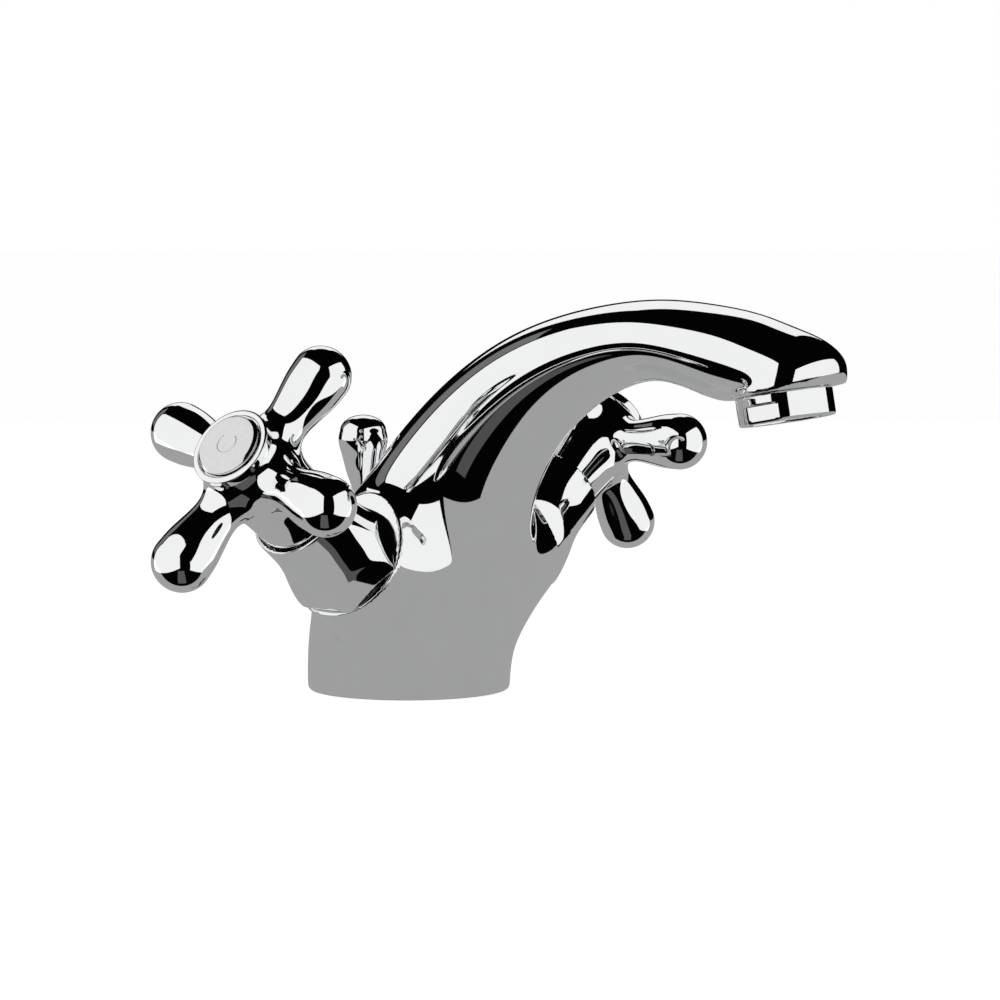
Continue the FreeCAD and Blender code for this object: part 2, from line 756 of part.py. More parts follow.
def knob_shape():
    """The pear knob, turned from one smooth curve."""
    foot = size("knob_foot")
    top = size("knob_top")
    neck = size("knob_neck")
    wide = size("knob_radius")
    curve = Part.BSplineCurve()
    curve.interpolate([
        Vector(neck, 0, foot), Vector(neck + 0.15, 0, foot + 2.5), Vector(neck + 1.3, 0, foot + 6.0),
        Vector(wide - 0.9, 0, foot + 11.2), Vector(wide, 0, top - 6.4),
        Vector(wide - 1.1, 0, top - 2.8), Vector(wide - 3.6, 0, top - 0.7), Vector(0.5, 0, top),
    ])
    side = Part.Wire([
        curve.toShape(),
        Part.makeLine(Vector(0.5, 0, top), Vector(0, 0, top)),
        Part.makeLine(Vector(0, 0, top), Vector(0, 0, foot)),
        Part.makeLine(Vector(0, 0, foot), Vector(neck, 0, foot)),
    ])
    knob = Part.Face(side).revolve(Vector(), Vector(0, 0, 1), 360)
    knob.translate(Vector(0, size("rod_offset"), 0))
    return knob


# ---------------------------------------------------------------- the whole mixer

make_body()
make_base_fixing()
for valve_side in (-1, 1):
    make_headwork(valve_side)
    make_bonnet(valve_side)
    make_handle(valve_side)
make_aerator()
make_lift_rod()
doc.recompute()

for obj in doc.Objects:
    if "Invalid" in obj.State or "Error" in obj.State:
        raise RuntimeError(f"{obj.Name} failed: {obj.State}")

os.makedirs("parts", exist_ok=True)
for obj in kept:
    if obj.Shape.isNull() or not obj.Shape.isValid():
        raise RuntimeError(f"{obj.Label} has no valid shape")
for obj in kept:
    obj.Shape.exportStep(os.path.join("parts", obj.Label + ".step"))
    print(obj.Label, len(obj.Shape.Solids), round(obj.Shape.Volume))
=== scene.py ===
"""Two-handle basin mixer: chrome casting, cross handles, bonnets, aerator and lift rod.

Lengths are in millimetres until a mesh is made, and metres from there on. The
frame is the CAD's: the deck is z = 0, the spout runs to -Y and the valves lean
out to -X and +X.
"""

import json
import math

import bpy
import numpy as np
import openvdb
from mathutils import Matrix, Vector

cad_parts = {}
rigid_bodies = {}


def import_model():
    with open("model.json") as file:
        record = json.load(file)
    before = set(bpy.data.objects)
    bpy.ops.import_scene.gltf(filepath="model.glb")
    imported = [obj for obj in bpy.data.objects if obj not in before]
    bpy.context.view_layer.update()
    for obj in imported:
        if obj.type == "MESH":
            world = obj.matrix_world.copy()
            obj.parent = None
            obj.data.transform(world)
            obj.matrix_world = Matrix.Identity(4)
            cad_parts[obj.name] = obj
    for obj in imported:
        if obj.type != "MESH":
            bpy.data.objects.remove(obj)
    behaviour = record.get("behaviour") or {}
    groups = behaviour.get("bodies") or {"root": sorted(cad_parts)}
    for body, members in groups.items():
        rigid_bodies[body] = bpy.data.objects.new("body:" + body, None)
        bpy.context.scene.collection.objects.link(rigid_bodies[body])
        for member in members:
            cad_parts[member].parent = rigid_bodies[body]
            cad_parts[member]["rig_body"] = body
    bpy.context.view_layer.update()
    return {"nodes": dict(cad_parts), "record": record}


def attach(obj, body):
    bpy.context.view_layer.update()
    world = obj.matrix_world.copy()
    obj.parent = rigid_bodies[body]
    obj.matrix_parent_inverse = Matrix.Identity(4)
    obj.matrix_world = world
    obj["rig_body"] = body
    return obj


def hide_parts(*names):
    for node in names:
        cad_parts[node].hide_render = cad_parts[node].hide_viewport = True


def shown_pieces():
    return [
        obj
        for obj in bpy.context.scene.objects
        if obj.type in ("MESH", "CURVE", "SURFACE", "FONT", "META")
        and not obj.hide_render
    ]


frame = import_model()

MM = 0.001
SIDES = {"left": -1, "right": 1}

# --------------------------------------------------------------- dimensions

BASE_RADIUS = 26.5
FOOT_EDGE = 1.4
CAVITY_RADIUS, CAVITY_DEPTH = 21.0, 9.0
BOSSES = [((0.0, -13.0), 6.5), ((0.0, 15.0), 5.2), ((-9.0, -4.5), 8.0), ((9.0, -4.5), 8.0)]

VALVE_ORIGIN = np.array([0.0, -7.6, 10.75])
VALVE_TILT = math.radians(35.0)
ARM_RADIUS, ARM_END, ARM_START = 14.8, 43.0, 4.0
ARM_SWELL = 1.0
BORE_RADIUS, BORE_SEAT = 10.5, 25.0
CREASE_LOW, CREASE_HIGH = 9.0, 30.0
CREASE_FROM, CREASE_RISE = 8.0, 28.0

OUTLET = np.array([0.0, -115.2, 81.2])
OUTLET_TILT = math.radians(10.2)
NOSE_RADIUS, NOSE_SHIFT = 14.2, 1.6
NOSE_BORE, NOSE_BORE_DEPTH = 10.6, 9.0
NOSE_FROM = -95.0
AERATOR_RADIUS, AERATOR_SHOW, AERATOR_FLAT = 12.0, 7.1, 11.1
AERATOR_FLAT_SHARE = 0.38
AERATOR_NECK, AERATOR_NECK_TOP = 11.47, 5.3
INSERT_RADIUS = 10.02

ROD_Y, GUIDE_SEAT, GUIDE_SPOT = 15.0, 48.0, 4.5
KNOB_FOOT, KNOB_DOME, KNOB_TOP = 49.7, 67.4, 71.6

BONNET_ACROSS, BONNET_TURN = 27.0, math.radians(28.0)
BONNET_END, BONNET_BORE, BONNET_FLOOR = 69.0, 11.15, 57.0

SPOKE_PLANE = 89.9
SPOKE_TURN = {"left": math.radians(161.1), "right": math.radians(89.0)}
SPOKE_TIP, SPOKE_BULB_AT, SPOKE_REACH = 7.6, 29.0, 36.4
SKIRT_END, SKIRT_TOP, SKIRT_INNER = 68.5, 73.4, 9.0
CROWN_FOOT, CROWN_NECK, CROWN_RADIUS, HUB_TOP = 96.2, 9.9, 10.6, 100.4
INDEX_SEAT, INDEX_TOP, INDEX_RADIUS, INDEX_POCKET = 99.9, 101.7, 8.5, 8.85

# spacing of the surface meshes, finer on the smaller pieces
BODY_STEP, HANDLE_STEP, BONNET_STEP, AERATOR_STEP = 0.8, 0.55, 0.5, 0.42
BODY_BOX = ((-46, -133, -1.5), (46, 28.5, 105.5))


# ------------------------------------------------------------ curve and blend

class Curve:
    """A natural cubic spline: one row of values at each knot."""

    def __init__(self, knots, values):
        self.knots = np.asarray(knots, float)
        self.values = np.asarray(values, float).reshape(len(knots), -1)
        gap = np.diff(self.knots)
        count = len(self.knots)
        system = np.eye(count)
        right = np.zeros_like(self.values)
        for i in range(1, count - 1):
            system[i, i - 1:i + 2] = gap[i - 1], 2.0 * (gap[i - 1] + gap[i]), gap[i]
            rise = np.diff(self.values[i - 1:i + 2], axis=0) / gap[i - 1:i + 1, None]
            right[i] = 6.0 * (rise[1] - rise[0])
        self.bend = np.linalg.solve(system, right)

    def __call__(self, at):
        at = np.asarray(at, float)
        i = np.clip(np.searchsorted(self.knots, at) - 1, 0, len(self.knots) - 2)
        gap = (self.knots[i + 1] - self.knots[i])[..., None]
        a = (self.knots[i + 1] - at)[..., None] / gap
        b = 1.0 - a
        curve = (a ** 3 - a) * self.bend[i] + (b ** 3 - b) * self.bend[i + 1]
        return a * self.values[i] + b * self.values[i + 1] + curve * gap ** 2 / 6.0


def lower(a, b, reach):
    """The smaller of two distances, eased where they differ by less than reach."""
    ease = np.maximum(reach - np.abs(a - b), 0.0) / reach
    return np.minimum(a, b) - ease ** 3 * (reach / 6.0)


def upper(a, b, reach):
    """The larger of two distances, eased in the same way."""
    return -lower(-a, -b, reach)


def eased(value):
    """0 to 1 along a smooth step."""
    value = np.clip(value, 0.0, 1.0)
    return value * value * (3.0 - 2.0 * value)


# ------------------------------------------------------------------ the spout

def spout_stations():
    """Centre y and z, slope in degrees, half height and half width, deck to nose."""
    tilt = OUTLET_TILT
    rim = (OUTLET[1] - NOSE_SHIFT * math.cos(tilt), OUTLET[2] + NOSE_SHIFT * math.sin(tilt))
    slope = math.degrees(tilt) - 90.0
    past = (rim[0] - 10.0 * math.sin(tilt), rim[1] - 10.0 * math.cos(tilt))
    base = BASE_RADIUS
    return [
        ((0.0, -10.0), 90.0, base, base),
        ((0.0, 0.0), 90.0, base, base),
        ((0.0, 10.0), 90.0, base - 0.1, base - 0.1),
        ((-1.2, 22.0), 83.0, base - 0.8, base - 1.0),
        ((-7.6, 38.7), 68.0, 22.9, 24.8),
        ((-19.4, 58.6), 47.0, 19.2, 21.2),
        ((-41.0, 80.6), 27.0, 14.3, 16.6),
        ((-65.0, 91.2), 10.0, 10.8, 14.6),
        ((-80.0, 93.2), -2.0, 10.2, 14.0),
        ((-93.0, 91.6), -13.0, 11.0, 13.9),
        ((-103.8, 89.2), -28.0, 11.9, 13.9),
        ((-111.3, 87.2), -44.8, 12.7, 13.9),
        ((-115.0, 85.7), -60.0, 14.25, 13.95),
        ((-116.7, 83.9), -70.0, 14.8, 14.05),
        (rim, slope, NOSE_RADIUS, NOSE_RADIUS),
        (past, slope, NOSE_RADIUS, NOSE_RADIUS),
    ]


class Spout:
    """The column and spout as a distance: ovals carried along a curve in the plane x = 0."""

    SAMPLES = 160
    OUTSIDE = 6.0
    BLOCK = 20000
    NUDGE = 1e-3

    def __init__(self):
        rows = [(c[0], c[1], math.radians(s), h, w) for c, s, h, w in spout_stations()]
        rows = np.array(rows)
        step = np.hypot(*np.diff(rows[:, :2], axis=0).T)
        self.run = Curve(np.concatenate([[0.0], np.cumsum(step)]), rows)
        self.end = self.run.knots[-1]
        self.at = np.linspace(0.0, self.end, self.SAMPLES)
        self.rows = self.run(self.at)

    def ahead(self, y, z, rows):
        """How far a point is in front of each section's plane."""
        along_y, along_z = -np.cos(rows[..., 2]), np.sin(rows[..., 2])
        return (y - rows[..., 0]) * along_y + (z - rows[..., 1]) * along_z

    def section(self, y, z):
        """For points of the plane x = 0: height in the section, half height, half width."""
        shape = y.shape
        y, z = y.reshape(-1, 1), z.reshape(-1, 1)
        best_at = np.zeros(len(y))
        found = np.zeros(len(y), bool)
        for i in range(0, len(y), self.BLOCK):
            block = slice(i, i + self.BLOCK)
            yy, zz = y[block], z[block]
            d = self.ahead(yy, zz, self.rows[None])
            crossing = (d[:, :-1] > 0) & (d[:, 1:] <= 0)
            rise = (yy - self.rows[:, 0]) * np.sin(self.rows[:, 2])
            rise = rise + (zz - self.rows[:, 1]) * np.cos(self.rows[:, 2])
            depth = np.abs(rise)[:, :-1] - self.rows[:-1, 3]
            depth = np.where(crossing, depth, 1e9)
            k = depth.argmin(1)
            row = np.arange(len(k))
            found[block] = crossing[row, k]
            share = d[row, k] / np.where(crossing[row, k], d[row, k] - d[row, k + 1], 1.0)
            best_at[block] = self.at[k] + share * (self.at[1] - self.at[0])
        best_at = np.clip(best_at, 0.0, self.end)
        for _ in range(4):
            here = self.ahead(y[:, 0], z[:, 0], self.run(best_at))
            there = self.ahead(y[:, 0], z[:, 0], self.run(best_at + self.NUDGE))
            slope = (there - here) / self.NUDGE
            slope = np.where(slope < -0.05, slope, -1.0)
            move = np.where(found, -here / slope, 0.0)
            best_at = np.clip(best_at + np.clip(move, -1.0, 1.0), 0.0, self.end)
        rows = self.run(best_at)
        rise = (y[:, 0] - rows[:, 0]) * np.sin(rows[:, 2]) + (z[:, 0] - rows[:, 1]) * np.cos(rows[:, 2])
        rise = np.where(found, rise, rows[:, 3] + self.OUTSIDE)
        return rise.reshape(shape), rows[:, 3].reshape(shape), rows[:, 4].reshape(shape)

    def __call__(self, x, y, z):
        y, z = np.broadcast_arrays(y, z)
        rise, half_height, half_width = self.section(y, z)
        ratio = np.sqrt((x / half_width) ** 2 + (rise / half_height) ** 2) + 1e-9
        steep = np.sqrt((x / half_width ** 2) ** 2 + (rise / half_height ** 2) ** 2) + 1e-10
        return (ratio - 1.0) * ratio / steep


# ----------------------------------------------------------------- placements

def valve_frame(side):
    """Axes of a valve as rows: X points down and outward, Z out along the axis."""
    out = np.array([side * math.cos(VALVE_TILT), 0.0, math.sin(VALVE_TILT)])
    down = np.array([side * math.sin(VALVE_TILT), 0.0, -math.cos(VALVE_TILT)])
    return np.array([down, np.cross(out, down), out])


def valve_matrix(side):
    """From a valve's own millimetres to the frame's millimetres."""
    matrix = np.eye(4)
    matrix[:3, :3] = valve_frame(side).T
    matrix[:3, 3] = VALVE_ORIGIN
    return matrix


def outlet_matrix():
    """From the aerator's own millimetres, Z up into the nose, to the frame's."""
    matrix = np.eye(4)
    c, s = math.cos(OUTLET_TILT), math.sin(OUTLET_TILT)
    matrix[:3, :3] = [[1, 0, 0], [0, c, s], [0, -s, c]]
    matrix[:3, 3] = OUTLET
    return matrix


def around_valve(side, x, y, z):
    """Distance out along a valve's axis, and distance from that axis."""
    out = valve_frame(side)[2]
    x, y, z = x - VALVE_ORIGIN[0], y - VALVE_ORIGIN[1], z - VALVE_ORIGIN[2]
    along = x * out[0] + y * out[1] + z * out[2]
    return along, np.sqrt(np.maximum(x * x + y * y + z * z - along ** 2, 0.0))


# ------------------------------------------------------------------- the body

spout = Spout()


def body_field(x, y, z):
    """The casting: column, spout and arms blended, then cut at deck, arm ends and nose."""
    solid = spout(x, y, z)
    arms = None
    for side in SIDES.values():
        along, away = around_valve(side, x, y, z)
        radius = ARM_RADIUS + ARM_SWELL * eased((ARM_END - 7.0 - along) / 27.0)
        arm = upper(away - radius, ARM_START - along, 10.0)
        arm = upper(arm, along - ARM_END, 1.0)
        arms = arm if arms is None else np.minimum(arms, arm)
    crease = CREASE_LOW + (CREASE_HIGH - CREASE_LOW) * eased((z - CREASE_FROM) / CREASE_RISE)
    solid = lower(solid, arms, crease)
    solid = upper(solid, -z, 1.76 * FOOT_EDGE)

    c, s = math.cos(OUTLET_TILT), math.sin(OUTLET_TILT)
    below = -(y - OUTLET[1]) * s - (z - OUTLET[2]) * c
    forward = (y - OUTLET[1]) * c - (z - OUTLET[2]) * s
    near_nose = y < NOSE_FROM
    solid = np.where(near_nose, upper(solid, below, 1.3), solid)
    from_outlet = np.sqrt(x * x + forward * forward)
    bore = np.maximum(from_outlet - NOSE_BORE, -below - NOSE_BORE_DEPTH)
    solid = np.where(near_nose, upper(solid, -bore, 0.7), solid)

    cavity = np.maximum(np.sqrt(x * x + y * y) - CAVITY_RADIUS, z - CAVITY_DEPTH)
    for (boss_x, boss_y), radius in BOSSES:
        cavity = np.maximum(cavity, radius - np.hypot(x - boss_x, y - boss_y))
    solid = np.maximum(solid, -cavity)
    for side in SIDES.values():
        along, away = around_valve(side, x, y, z)
        solid = np.maximum(solid, -np.maximum(away - BORE_RADIUS, BORE_SEAT - along))
    from_rod = np.hypot(x, y - ROD_Y)
    spot = np.maximum(np.maximum(from_rod - GUIDE_SPOT, GUIDE_SEAT - z), z - GUIDE_SEAT - 10.0)
    return upper(solid, -spot, 0.8)


# ------------------------------------------------------------------ a handle

def spoke_radius(out):
    """A spoke's radius at a distance from the hub's axis, up to its round tip."""
    return SPOKE_PROFILE(np.clip(out, 0.0, SPOKE_BULB_AT))[..., 0]


SPOKE_PROFILE = Curve(
    [0.0, 6.0, 11.0, 15.0, 20.0, 24.5, SPOKE_BULB_AT],
    [7.0, 6.2, 5.6, 5.7, 6.5, 7.3, SPOKE_TIP],
)
HUB_PROFILE = Curve(
    [60.0, 68.0, 72.0, 77.0, 82.0, 87.0, 93.0, 97.0, 101.0],
    [10.7, 10.7, 10.6, 10.75, 11.0, 11.1, 10.9, 10.1, 9.9],
)


def handle_field(turn):
    """The cross handle in its valve's frame, without its turned crown."""

    def field(x, y, z):
        away = np.sqrt(x * x + y * y)
        hub = away - HUB_PROFILE(z)[..., 0]
        hub = upper(hub, z - CROWN_FOOT - 2.0, 0.6)
        spokes = None
        for quarter in range(4):
            angle = turn + quarter * math.pi / 2
            out = x * math.cos(angle) + y * math.sin(angle)
            across = y * math.cos(angle) - x * math.sin(angle)
            from_axis = np.sqrt(across * across + (z - SPOKE_PLANE) ** 2)
            stem = from_axis - spoke_radius(out)
            stretch = SPOKE_TIP / (SPOKE_REACH - SPOKE_BULB_AT)
            bulb = np.sqrt(from_axis ** 2 + (np.maximum(out - SPOKE_BULB_AT, 0) * stretch) ** 2)
            spoke = np.where(out > SPOKE_BULB_AT, bulb - SPOKE_TIP, stem)
            spoke = np.maximum(spoke, -out)
            spokes = spoke if spokes is None else lower(spokes, spoke, 3.0)
        solid = lower(hub, spokes, 7.5)
        solid = upper(solid, SKIRT_END - z, 0.8)
        hollow = np.maximum(away - SKIRT_INNER, z - SKIRT_TOP)
        return upper(solid, -hollow, 0.5)

    return field


# ------------------------------------------------------- bonnet and aerator

BONNET_PROFILE = Curve(
    [40.0, 43.0, 45.2, 48.0, 50.5, 53.5, 56.5, 60.0, 64.0, 72.0],
    [15.4, 15.45, 15.5, 15.1, 14.35, 13.4, 12.75, 12.3, 12.15, 12.15],
)


def bonnet_field(x, y, z):
    """The flared cover with its six wrench flats and open lip."""
    away = np.sqrt(x * x + y * y)
    solid = away - BONNET_PROFILE(z)[..., 0]
    flats = None
    for k in range(6):
        angle = BONNET_TURN + math.radians(60.0 * k + 30.0)
        flat = x * math.cos(angle) + y * math.sin(angle) - BONNET_ACROSS / 2
        flats = flat if flats is None else upper(flats, flat, 0.4)
    solid = upper(solid, flats, 0.5)
    solid = upper(solid, ARM_END - z, 2.0)
    solid = upper(solid, z - BONNET_END, 0.5)
    hollow = np.maximum(away - BONNET_BORE, BONNET_FLOOR - z)
    return upper(solid, -hollow, 0.6)


def aerator_field(x, y, z):
    """The aerator's shell: a collar with two wrench flats and a threaded neck above."""
    away = np.sqrt(x * x + y * y)
    collar = upper(away - AERATOR_RADIUS, -AERATOR_SHOW - z, 1.1)
    collar = upper(collar, z, 0.7)
    flat_top = -AERATOR_SHOW * AERATOR_FLAT_SHARE
    flat = np.minimum(np.abs(x) - AERATOR_FLAT, flat_top - z)
    collar = upper(collar, flat, 0.4)
    neck = np.maximum(away - AERATOR_NECK, z - AERATOR_NECK_TOP)
    solid = np.minimum(collar, np.maximum(neck, -z - 1.0))
    return upper(solid, INSERT_RADIUS - away, 0.5)


# ---------------------------------------------------------------- mesh makers

def new_piece(name, points, faces, body, slot, replaced=(), normals=None):
    """A smooth-shaded mesh object in metres that rides a body and stands for CAD nodes."""
    mesh = bpy.data.meshes.new(name)
    mesh.from_pydata([tuple(p) for p in points], [], [tuple(f) for f in faces])
    mesh.validate()
    mesh.polygons.foreach_set("use_smooth", [True] * len(mesh.polygons))
    if normals is not None and len(mesh.vertices) == len(normals):
        mesh.normals_split_custom_set_from_vertices([tuple(n) for n in normals])
    mesh.update()
    obj = bpy.data.objects.new(name, mesh)
    bpy.context.scene.collection.objects.link(obj)
    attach(obj, body)
    if replaced:
        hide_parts(*replaced)
    return obj


def slope_of(field, points, reach=0.02):
    """The field's gradient at points, by central differences."""
    rows = []
    for axis in range(3):
        shift = np.zeros(3)
        shift[axis] = reach
        high, low = points + shift, points - shift
        rows.append((field(*high.T) - field(*low.T)) / (2 * reach))
    return np.stack(rows, 1)


def surface_of(field, low, high, step):
    """Points, quads and normals of the surface where field is zero, in millimetres."""
    low, high = np.array(low, float), np.array(high, float)
    counts = np.ceil((high - low) / step).astype(int) + 1
    lines = [low[i] + step * np.arange(counts[i]) for i in range(3)]
    slab = 24
    values = np.empty(counts, np.float32)
    for i in range(0, counts[0], slab):
        x = lines[0][i:i + slab].reshape(-1, 1, 1)
        values[i:i + slab] = field(x, lines[1].reshape(1, -1, 1), lines[2].reshape(1, 1, -1))
    values = np.clip(values / step, -3.0, 3.0).astype(np.float32)
    grid = openvdb.FloatGrid(3.0)
    grid.copyFromArray(values)
    points, quads = grid.convertToQuads(0.0)
    points = points.astype(float) * step + low
    for _ in range(4):
        value = field(*points.T)
        slope = slope_of(field, points)
        length = np.maximum((slope ** 2).sum(1), 0.05)
        move = -(value / length)[:, None] * slope
        size = np.linalg.norm(move, axis=1, keepdims=True)
        points = points + move * np.minimum(1.0, 0.5 * step / np.maximum(size, 1e-9))
    normals = slope_of(field, points)
    normals /= np.maximum(np.linalg.norm(normals, axis=1, keepdims=True), 1e-9)
    a, b, c = (points[quads[:, i]] for i in range(3))
    facing = (np.cross(b - a, c - a) * normals[quads[:, 0]]).sum(1)
    if facing.mean() < 0:
        quads = quads[:, ::-1]
    return points, quads, normals


def placed(points, normals, matrix):
    """Points in metres and normals, both carried by a millimetre matrix."""
    turned = points @ matrix[:3, :3].T + matrix[:3, 3]
    return turned * MM, normals @ matrix[:3, :3].T


def lathe(profile, segments=128):
    """Points and faces of an outline (radius, height) turned about Z, open at both ends."""
    angles = np.arange(segments) * 2 * math.pi / segments
    points, faces = [], []
    for radius, height in profile:
        for angle in angles:
            points.append((radius * math.cos(angle), radius * math.sin(angle), height))
    for ring in range(len(profile) - 1):
        a, b = ring * segments, (ring + 1) * segments
        for k in range(segments):
            after = (k + 1) % segments
            faces.append((a + k, a + after, b + after, b + k))
    return np.array(points), faces


def arc(centre, radius, start, stop, count=6):
    """Outline points of a round corner, angles in degrees from the radial direction."""
    steps = np.radians(np.linspace(start, stop, count))
    return [(centre[0] + radius * math.cos(a), centre[1] + radius * math.sin(a)) for a in steps]


# ------------------------------------------------------------------ materials

def material(name, colour, metallic, roughness, spread, bump=0.0, grain=300.0, tint=None,
             stretch=(1, 1, 1)):
    """A Principled material whose roughness, colour and bump follow fine noise."""
    made = bpy.data.materials.new(name)
    made.use_nodes = True
    nodes, links = made.node_tree.nodes, made.node_tree.links
    shader = nodes["Principled BSDF"]
    shader.inputs["Metallic"].default_value = metallic
    place = nodes.new("ShaderNodeTexCoord")
    mapping = nodes.new("ShaderNodeMapping")
    mapping.inputs["Scale"].default_value = stretch
    links.new(place.outputs["Object"], mapping.inputs["Vector"])
    noise = nodes.new("ShaderNodeTexNoise")
    noise.inputs["Scale"].default_value = grain
    noise.inputs["Detail"].default_value = 4.0
    links.new(mapping.outputs["Vector"], noise.inputs["Vector"])
    rough = nodes.new("ShaderNodeMapRange")
    rough.inputs["From Min"].default_value = 0.3
    rough.inputs["From Max"].default_value = 0.7
    rough.inputs["To Min"].default_value = roughness - spread
    rough.inputs["To Max"].default_value = roughness + spread
    links.new(noise.outputs["Fac"], rough.inputs["Value"])
    links.new(rough.outputs["Result"], shader.inputs["Roughness"])
    ramp = nodes.new("ShaderNodeValToRGB")
    ramp.color_ramp.elements[0].position = 0.35
    ramp.color_ramp.elements[1].position = 0.65
    ramp.color_ramp.elements[0].color = (*(tint or colour), 1.0)
    ramp.color_ramp.elements[1].color = (*colour, 1.0)
    links.new(noise.outputs["Fac"], ramp.inputs["Fac"])
    links.new(ramp.outputs["Color"], shader.inputs["Base Color"])
    if bump:
        height = nodes.new("ShaderNodeBump")
        height.inputs["Strength"].default_value = bump
        height.inputs["Distance"].default_value = 0.0002
        links.new(noise.outputs["Fac"], height.inputs["Height"])
        links.new(height.outputs["Normal"], shader.inputs["Normal"])
    return made


MATERIALS = {
    "chrome": material("chrome", (0.95, 0.955, 0.96), 1.0, 0.03, 0.012, grain=90.0,
                       tint=(0.93, 0.935, 0.94)),
    "index_chrome": material("index_chrome", (0.78, 0.78, 0.785), 1.0, 0.10, 0.03, grain=700.0,
                             tint=(0.74, 0.74, 0.745)),
    "brass": material("brass", (0.76, 0.60, 0.33), 1.0, 0.26, 0.07, 0.25, 900.0,
                      (0.66, 0.50, 0.25)),
    "steel": material("steel", (0.66, 0.67, 0.68), 1.0, 0.30, 0.08, 0.2, 700.0,
                      (0.56, 0.57, 0.59), (1, 1, 8)),
    "rubber": material("rubber", (0.026, 0.026, 0.028), 0.0, 0.62, 0.10, 0.5, 1500.0,
                       (0.016, 0.016, 0.018)),
    "ceramic": material("ceramic", (0.86, 0.85, 0.82), 0.0, 0.18, 0.05, 0.1, 1200.0,
                        (0.80, 0.79, 0.76)),
    "bush_plastic": material("bush_plastic", (0.74, 0.73, 0.70), 0.0, 0.42, 0.08, 0.3, 1100.0,
                             (0.68, 0.67, 0.64)),
    "insert_plastic": material("insert_plastic", (0.70, 0.71, 0.72), 0.0, 0.40, 0.08, 0.3, 1100.0,
                               (0.62, 0.63, 0.65)),
}


def dress(obj, slot):
    """Gives every face of obj the slot's material."""
    obj.data.materials.clear()
    obj.data.materials.append(MATERIALS[slot])


# --------------------------------------------------------------------- pieces

def implicit_piece(name, field, low, high, step, matrix, body, slot, replaced):
    """A piece whose surface is where field is zero, inside a box in its own millimetres."""
    points, quads, normals = surface_of(field, low, high, step)
    points, normals = placed(points, normals, matrix)
    dress(new_piece(name, points, quads, body, slot, replaced, normals), slot)


def turned_piece(name, profile, matrix, body, slot, replaced=(), segments=128):
    """A piece turned from an outline of (radius, height)."""
    points, faces = lathe(profile, segments)
    points, _ = placed(points, np.zeros((1, 3)), matrix)
    obj = new_piece(name, points, faces, body, slot, replaced)
    dress(obj, slot)
    obj.data.set_sharp_from_angle(angle=math.radians(40.0))


def make_body():
    implicit_piece("casting", body_field, *BODY_BOX, BODY_STEP, np.eye(4), "body", "chrome", ["body"])


def make_handle(side_name):
    """Cross, turned crown, index disc and its mark, all in the valve's frame."""
    matrix = valve_matrix(SIDES[side_name])
    body = side_name + "_handle"
    reach = SPOKE_REACH + 1.5
    turn = SPOKE_TURN[side_name]
    implicit_piece(side_name + "_cross", handle_field(turn), (-reach, -reach, SKIRT_END - 1.5),
                   (reach, reach, CROWN_FOOT + 4.5), HANDLE_STEP, matrix, body, "chrome",
                   [side_name + "_handle"])
    lip = 0.55
    crown = [(CROWN_NECK - 0.5, CROWN_FOOT - 0.6), (CROWN_NECK, CROWN_FOOT)]
    crown += [(CROWN_NECK + 0.15, CROWN_FOOT + 0.9)]
    crown += arc((CROWN_RADIUS - 0.5, CROWN_FOOT + 1.9), 0.5, -60, 0, 5)
    crown += arc((CROWN_RADIUS - lip, HUB_TOP - lip), lip, 0, 90, 7)
    crown += arc((INDEX_POCKET + 0.3, HUB_TOP - 0.3), 0.3, 90, 180, 5)
    crown += [(INDEX_POCKET, INDEX_SEAT - 0.6), (0.6, INDEX_SEAT - 0.6)]
    turned_piece(side_name + "_crown", crown, matrix, body, "chrome")

    disc = [(INDEX_RADIUS, INDEX_SEAT - 0.5)]
    disc += arc((INDEX_RADIUS - 0.25, INDEX_TOP - 0.75), 0.25, 0, 45, 4)
    disc += arc((INDEX_RADIUS - 0.85, INDEX_TOP - 0.25), 0.25, 45, 90, 4)
    disc += [(0.9 * INDEX_RADIUS * (1 - k / 12), INDEX_TOP) for k in range(1, 12)]
    disc += [(0.02, INDEX_TOP)]
    turned_piece(side_name + "_index", disc, matrix, body, "index_chrome",
                 [side_name + "_index_disc"])
    make_index_mark(side_name, matrix, body)


def make_index_mark(side_name, matrix, body):
    """A generic open ring cut into the index disc, drawn as a thin sunken bead."""
    radius, tube, around, along = 2.7, 0.17, 8, 40
    points, faces = [], []
    for i in range(along + 1):
        angle = math.radians(-140.0 + 280.0 * i / along)
        for k in range(around):
            turn = 2 * math.pi * k / around
            r = radius + tube * math.cos(turn)
            points.append((r * math.cos(angle), r * math.sin(angle),
                           INDEX_TOP - 0.05 + 0.6 * tube * math.sin(turn)))
    for i in range(along):
        for k in range(around):
            after = (k + 1) % around
            a, b = i * around, (i + 1) * around
            faces.append((a + k, b + k, b + after, a + after))
    faces.append(tuple(range(around)))
    faces.append(tuple(along * around + k for k in reversed(range(around))))
    points, _ = placed(np.array(points), np.zeros((1, 3)), matrix)
    dress(new_piece(side_name + "_index_mark", points, faces, body, "index_chrome"),
          "index_chrome")


def make_bonnet(side_name):
    reach = 16.6
    implicit_piece(side_name + "_cover", bonnet_field, (-reach, -reach, ARM_END - 1.5),
                   (reach, reach, BONNET_END + 1.5), BONNET_STEP, valve_matrix(SIDES[side_name]),
                   "body", "chrome", [side_name + "_bonnet"])


def make_aerator():
    reach = AERATOR_RADIUS + 1.2
    implicit_piece("aerator_collar", aerator_field, (-reach, -reach, -AERATOR_SHOW - 1.2),
                   (reach, reach, AERATOR_NECK_TOP + 1.2), AERATOR_STEP, outlet_matrix(),
                   "body", "chrome", ["aerator_shell"])


